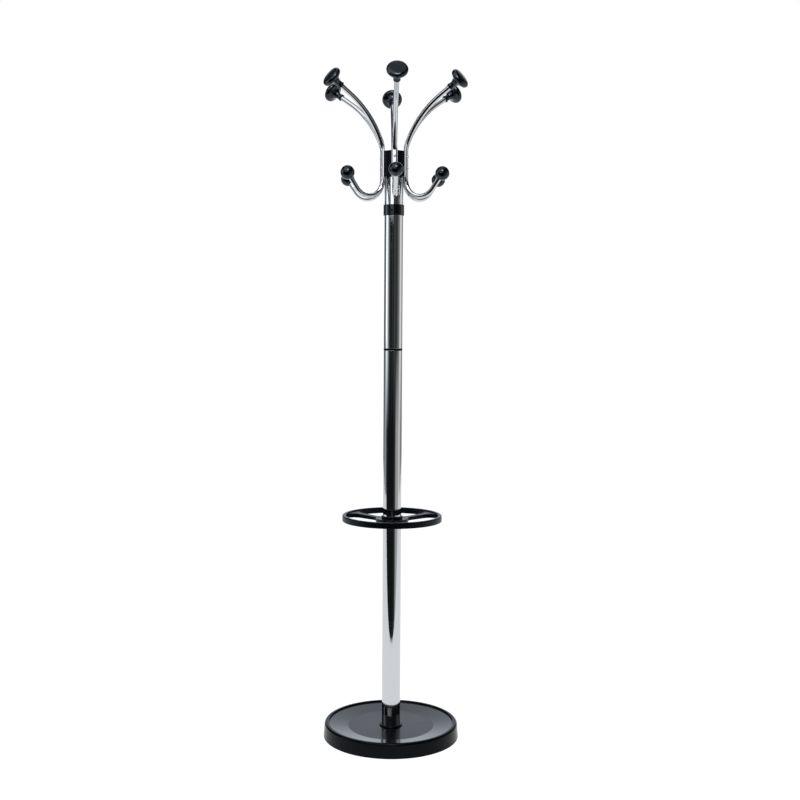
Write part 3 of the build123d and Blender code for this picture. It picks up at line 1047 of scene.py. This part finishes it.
def bent_arm():
    """One arm along +X: from its end in the ball, past the hub, to its end in the knob."""
    radius = bpy.context.scene.rack_sizes.arm_radius / MM
    round_size, flat_size = (radius, radius), (FLAT_HALF_DEPTH, FLAT_HALF_WIDTH)
    shapes = []
    for step in range(BLEND_STEPS + 1):
        share = step / BLEND_STEPS
        share = share * share * (3 - 2 * share)
        shapes.append([r + (f - r) * share for r, f in zip(round_size, flat_size)])

    end, tilt = hook_end()
    deselect()
    bpy.ops.mesh.primitive_circle_add(
        vertices=64, radius=radius * MM, location=end * MM, rotation=(0, tilt, 0)
    )
    arm = bpy.context.object
    settle(arm)
    bpy.ops.object.mode_set(mode="EDIT")
    bpy.ops.mesh.select_all(action="SELECT")
    draw_out(-leaning(tilt) * HOOK_STRAIGHT * MM)
    hook_centre = Vector((ARM_CIRCLE + HOOK_RADIUS, 0, hook_start()))
    bend(hook_centre, HOOK_TURN - HOOK_BLEND, 44)
    half_way = BLEND_STEPS // 2
    left = HOOK_BLEND
    for before, after in zip(shapes[:half_way], shapes[1:]):
        left -= HOOK_BLEND / half_way
        bend(hook_centre, HOOK_BLEND / half_way)
        middle = hook_centre - HOOK_RADIUS * Vector((cos(left), 0, sin(left)))
        swell(middle * MM, before, after)

    height, (flat_bottom, flat_top) = hook_start(), flat_ends()
    rise = (flat_bottom - height) / half_way
    for before, after in zip(shapes[half_way:], shapes[half_way + 1 :]):
        height += rise
        draw_out((0, 0, rise * MM))
        swell(Vector((ARM_CIRCLE, 0, height)) * MM, before, after)
    for rise in (COIN_STEP, flat_top - flat_bottom - 2 * COIN_STEP, COIN_STEP):
        draw_out((0, 0, rise * MM))

    sweep_centre = Vector((ARM_CIRCLE + SWEEP_RADIUS, 0, flat_top))
    turned = 0.0
    for after, before in zip(shapes[-2::-1], shapes[::-1]):
        turned += BLEND_TURN / BLEND_STEPS
        bend(sweep_centre, BLEND_TURN / BLEND_STEPS)
        middle = sweep_centre + SWEEP_RADIUS * Vector((-cos(turned), 0, sin(turned)))
        swell(middle * MM, before, after)
    bend(sweep_centre, SWEEP_TURN - BLEND_TURN, 4)
    bend(reach_centre(), REACH_TURN, 24)
    tilt = SWEEP_TURN + REACH_TURN
    draw_out(leaning(tilt) * REACH_STRAIGHT * MM)

    for side, land in ((-1, FLAT_LAND), (1, FLAT_FACE)):
        wall = (ARM_CIRCLE + side * land) * MM
        low, high = (flat_bottom + COIN_STEP / 2) * MM, (flat_top - COIN_STEP / 2) * MM
        select_where(lambda place: low < place.z < high and side * (place.x - wall) > 0)
        bpy.ops.transform.resize(value=(0, 1, 1), center_override=(wall, 0, 0))
    bpy.ops.mesh.select_all(action="SELECT")
    bpy.ops.mesh.fill_holes(sides=0)
    return close_up()


class RACK_OT_arms(bpy.types.Operator):
    """Bends one arm from tube, presses its flat against the hub and copies it around the head"""

    bl_idname = "rack.arms"
    bl_label = "Arms"

    def execute(self, context):
        patterns = [(bent_arm(), "arm", (0, 0, 0), 0)]
        repeat_on_head(patterns, "bent", chrome_plate_on_drawn_tube)
        return {"FINISHED"}


class RACK_OT_knobs(bpy.types.Operator):
    """Turns one mushroom knob and one ball, and sets them on the ends of the arms"""

    bl_idname = "rack.knobs"
    bl_label = "Knobs and Balls"

    def execute(self, context):
        sizes = context.scene.rack_sizes
        bore = sizes.arm_radius / MM + FIT_GAP
        rim, edge, neck = KNOB_RIM_CIRCLE, KNOB_RIM_RADIUS, KNOB_NECK_RADIUS
        bead = KNOB_BEAD - KNOB_LENGTH
        outline = arc_through((0, edge + KNOB_CROWN), (rim / 2, edge + 0.68), (rim, edge), 10)
        outline += arc((rim, 0), edge, 90, -90, 20)[1:]
        outline += arc_through((rim, -edge), (11.4, -14.5), (neck, bead), 14)[1:]
        corners = [
            (neck, bead, 0),
            (neck + 0.9, 4.2 - KNOB_LENGTH, 0.5),
            (neck + 0.9, 0.8 - KNOB_LENGTH, 0.5),
            (neck, -KNOB_LENGTH, 0.3),
            (bore, -KNOB_LENGTH, 0.3),
            (bore, -KNOB_REACH, 0),
            (0, -KNOB_REACH, 0),
        ]
        outline += rounded(corners, 3)[1:]
        knob = lathe("knob", outline, 96, closed=False)

        radius = sizes.ball_radius / MM
        flat_angle = -degrees(asin(BALL_FLAT / radius))
        outline = arc((0, 0), radius, 90, flat_angle, 30)
        corners = [
            (radius * cos(radians(flat_angle)), -BALL_FLAT, 0),
            (bore, -BALL_FLAT, 0.3),
            (bore, -BALL_REACH, 0),
            (0, -BALL_REACH, 0),
        ]
        outline += rounded(corners, 3)[1:]
        ball = lathe("ball", outline, 96, closed=False)

        top, top_tilt = sweep_end()
        low, low_tilt = hook_end()
        patterns = [
            (knob, "top_knob", (top + leaning(top_tilt) * KNOB_REACH) * MM, top_tilt),
            (ball, "lower_ball", (low + leaning(low_tilt) * BALL_REACH) * MM, low_tilt),
        ]
        repeat_on_head(patterns, "polished", polished_phenolic)
        return {"FINISHED"}


def cross_recess_cutter():
    """A four-armed tapered plug with the shape of a cross recess, its top well above Z 0."""
    deselect()
    for turn in (0, pi / 2):
        size = Vector(RECESS_SIZE) * MM
        bpy.ops.mesh.primitive_cube_add(size=1, rotation=(0, 0, turn), scale=size)
        blade = bpy.context.object
        settle(blade)
        bpy.ops.object.mode_set(mode="EDIT")
        select_where(lambda place: place.z < 0)
        narrowing = (RECESS_TAPER, RECESS_TAPER, 1)
        bpy.ops.transform.resize(value=narrowing, center_override=(0, 0, 0))
        bpy.ops.object.mode_set(mode="OBJECT")
        blade.name = f"blade_{round(turn)}"
    first, second = bpy.data.objects["blade_0"], bpy.data.objects["blade_2"]
    fuse(first, second, "UNION")
    return first


class RACK_OT_hub(bpy.types.Operator):
    """Models the hub that the arms are screwed to, its cap and the arm screws"""

    bl_idname = "rack.hub"
    bl_label = "Hub"

    def execute(self, context):
        hub = trimmed("arm_hub", "arm_hub_moulded", 0.4, 2)
        dress(hub, "head", moulded_nylon_hub, "arm_hub")

        low, high = heights("hub_cap")
        edge = half_width("hub_cap") / MM
        seat = hub_heights()[1]
        crown = arc_through((0, high), (edge / 2, seat + 3.2), (edge - 0.3, seat + 1.0), 14)
        corners = [
            (edge - 0.3, seat + 1.0, 0),
            (edge, seat + 0.8, 0.3),
            (edge, seat, 0),
            (CAP_PLUG_RADIUS, seat, 0),
            (CAP_PLUG_RADIUS, low, 0.6),
            (0, low, 0),
        ]
        rim = rounded(corners, 3)
        cap = lathe("hub_cap_moulded", crown + rim[1:], 96, closed=False)
        dress(cap, "head", moulded_nylon_hub, "hub_cap")

        corners = [
            (0, SCREW_HEAD_HEIGHT, 0),
            (SCREW_HEAD_RADIUS, SCREW_HEAD_HEIGHT, 1.6),
            (SCREW_HEAD_RADIUS, 0, 0.15),
            (SCREW_RADIUS, 0, 0),
            (SCREW_RADIUS, -SCREW_SHANK, 0.4),
            (0, -SCREW_SHANK, 0),
        ]
        outline = rounded(corners)
        screw = lathe("screw", outline, 40, closed=False)
        cutter = cross_recess_cutter()
        cutter.location.z = (SCREW_HEAD_HEIGHT + 0.1) * MM
        settle(cutter)
        fuse(screw, cutter, "DIFFERENCE")
        heads = []
        for index in range(len(PLACES)):
            for row, height in enumerate(SCREW_HEIGHTS):
                head = copied(screw, f"arm_screw_{index}_{row}")
                place = Vector((ARM_CIRCLE + FLAT_LAND, 0, height)) * MM
                set_on_head(head, index, place, pi / 2, radians(37 * index + 61 * row))
                heads.append(head)
        bpy.data.objects.remove(screw)
        deselect()
        for head in heads:
            head.select_set(True)
        bpy.context.view_layer.objects.active = heads[0]
        bpy.ops.object.join()
        heads[0].name = "arm_screws_cross_head"
        dress(heads[0], "head", bright_nickel_on_screws, "arm_screws")
        return {"FINISHED"}


class RACK_OT_inner_parts(bpy.types.Operator):
    """Finishes the parts under the base and inside the mast, which keep their own shapes"""

    bl_idname = "rack.inner_parts"
    bl_label = "Inner Parts"

    def execute(self, context):
        for build, nodes in (
            (sand_cast_iron, ["base_weight"]),
            (stove_enamelled_sheet, ["base_plate"]),
            (moulded_rubber, ["base_feet"]),
            (
                zinc_plated_steel,
                ["base_plate_screws", "mast_bolt", "mast_washer"]
                + ["spindle", "spindle_washer", "spindle_nut"],
            ),
            (blacked_steel_screw, ["collar_screw"]),
            (moulded_nylon_hub, ["foot_plug", "ring_joiner", "head_plug"]),
            (natural_nylon, ["swivel_bush", "thrust_washer"]),
        ):
            for node in nodes:
                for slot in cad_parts[node].material_slots:
                    slot.material = finish(build)
        return {"FINISHED"}


def studio_world():
    """White all round to the eye; reflections see a room with dark flats in front."""
    world = bpy.data.worlds.new("studio")
    world.use_nodes = True
    tree = world.node_tree
    tree.nodes.clear()
    place = add(world, "ShaderNodeTexCoord")
    parts = add(world, "ShaderNodeSeparateXYZ", (), [("Vector", place, "Generated")])
    ahead = add(world, "ShaderNodeMath", {"operation": "MULTIPLY", 1: -1.0}, [(0, parts, "Y")])
    bearing = add(
        world, "ShaderNodeMath", {"operation": "ARCTAN2"}, [(0, parts, "X"), (1, ahead, "Value")]
    )
    turn = add(
        world,
        "ShaderNodeMapRange",
        {"From Min": -pi, "From Max": pi},
        [("Value", bearing, "Value")],
    )
    stops = [((row[0] + 180) / 360, *(level / 2 for level in row[1:])) for row in ROOM]
    walls = add(world, "ShaderNodeValToRGB", {"stops": stops}, [("Fac", turn, "Result")])
    levels = add(world, "ShaderNodeSeparateColor", (), [("Color", walls, "Color")])
    above_floor, overhead = (
        add(
            world,
            "ShaderNodeMapRange",
            {"From Min": sin(radians(first)), "From Max": sin(radians(last))},
            [("Value", parts, "Z")],
        )
        for first, last in ((-5, -1), (10, 24))
    )
    lower = add(
        world,
        "ShaderNodeMix",
        (),
        [("Factor", above_floor, "Result"), ("A", levels, "Red"), ("B", levels, "Green")],
    )
    room = add(
        world,
        "ShaderNodeMix",
        (),
        [("Factor", overhead, "Result"), ("A", lower, "Result"), ("B", levels, "Blue")],
    )
    # Daylight tints the back of the room blue, and lamps warm its right side a little
    tints = [
        (0.0, 0.83, 0.89, 1.0),
        (0.5, 0.93, 0.97, 1.0),
        (0.72, 1.0, 0.98, 0.95),
        (0.85, 1.0, 0.98, 0.96),
        (1.0, 0.83, 0.89, 1.0),
    ]
    tint = add(world, "ShaderNodeValToRGB", {"stops": tints}, [("Fac", turn, "Result")])
    tinted = add(
        world,
        "ShaderNodeMix",
        {"data_type": "RGBA", "blend_type": "MULTIPLY", "Factor": 1.0},
        [(6, tint, "Color"), (7, room, "Result")],
    )
    reflected = add(world, "ShaderNodeBackground", {"Strength": 2.4}, [("Color", tinted, 2)])
    seen = add(world, "ShaderNodeBackground", {"Color": (1, 1, 1, 1), "Strength": 1.0})
    ray = add(world, "ShaderNodeLightPath")
    mixed = add(
        world,
        "ShaderNodeMixShader",
        (),
        [("Fac", ray, "Is Camera Ray"), (1, reflected, "Background"), (2, seen, "Background")],
    )
    add(world, "ShaderNodeOutputWorld", (), [("Surface", mixed, "Shader")])
    return world


def softbox(name, width, height, bearing, elevation, distance, level):
    """A soft light that faces the upper mast from a bearing, left of the front if below 0."""
    target = Vector((0, 0, AIM_HEIGHT))
    outwards = Vector(
        (
            sin(radians(bearing)) * cos(radians(elevation)),
            -cos(radians(bearing)) * cos(radians(elevation)),
            sin(radians(elevation)),
        )
    )
    lamp = bpy.data.lights.new(name, "AREA")
    lamp.shape = "RECTANGLE"
    lamp.size = width
    lamp.size_y = height
    lamp.energy = level * pi * width * height
    box = bpy.data.objects.new(name, lamp)
    box.location = target + outwards * distance
    box.rotation_euler = outwards.to_track_quat("Z", "Y").to_euler()
    box.visible_camera = False
    bpy.context.scene.collection.objects.link(box)


class RACK_OT_stage(bpy.types.Operator):
    """Sets the floor, the soft lights and the camera"""

    bl_idname = "rack.stage"
    bl_label = "Stage"

    def execute(self, context):
        scene = context.scene
        deselect()
        bpy.ops.mesh.primitive_plane_add(size=1, location=(0, 2.02, 0))
        floor = context.object
        floor.name = "studio_floor"
        floor.scale = (9.0, 6.0, 1)
        settle(floor)
        paint, _ = blank(
            "studio_floor_paint",
            scene.rack_colours.floor,
            0.7,
            Emission_Color=(0.97, 0.985, 1, 1),
            Emission_Strength=1.06,
            Specular_IOR_Level=0.0,
        )
        floor.data.materials.append(paint)

        scene.world = studio_world()
        for lamp in SOFTBOXES:
            softbox(*lamp)

        scene.view_settings.view_transform = "Standard"
        camera_data = bpy.data.cameras.new("camera")
        camera = bpy.data.objects.new("camera", camera_data)
        scene.collection.objects.link(camera)
        camera_data.sensor_width = 36.0
        camera_data.lens = 51.71
        camera_data.shift_x = 0.0091
        camera.rotation_mode = "ZYX"
        camera.location = (0, -3.064, 1.1068)
        camera.rotation_euler = (radians(90 - 3.618), 0, radians(0.34))
        scene.camera = camera
        return {"FINISHED"}


class RACK_PT_panel(bpy.types.Panel):
    """Lists the pieces in the sidebar"""

    bl_idname = "RACK_PT_panel"
    bl_label = "Coat Rack"
    bl_space_type = "VIEW_3D"
    bl_region_type = "UI"
    bl_category = "Coat Rack"

    def draw(self, context):
        for operator in STEPS:
            self.layout.operator(operator.bl_idname)


STEPS = [
    RACK_OT_base,
    RACK_OT_mast,
    RACK_OT_umbrella_ring,
    RACK_OT_arms,
    RACK_OT_knobs,
    RACK_OT_hub,
    RACK_OT_inner_parts,
    RACK_OT_stage,
]
CLASSES = [RackSizes, RackColours, *STEPS, RACK_PT_panel]


def register():
    for item in CLASSES:
        bpy.utils.register_class(item)
    bpy.types.Scene.rack_sizes = PointerProperty(type=RackSizes)
    bpy.types.Scene.rack_colours = PointerProperty(type=RackColours)


def unregister():
    del bpy.types.Scene.rack_colours
    del bpy.types.Scene.rack_sizes
    for item in reversed(CLASSES):
        bpy.utils.unregister_class(item)


def main():
    """Builds every piece in order."""
    register()
    bpy.ops.rack.base()
    bpy.ops.rack.mast()
    bpy.ops.rack.umbrella_ring()
    bpy.ops.rack.arms()
    bpy.ops.rack.knobs()
    bpy.ops.rack.hub()
    bpy.ops.rack.inner_parts()
    bpy.ops.rack.stage()


if __name__ == "__main__":
    main()
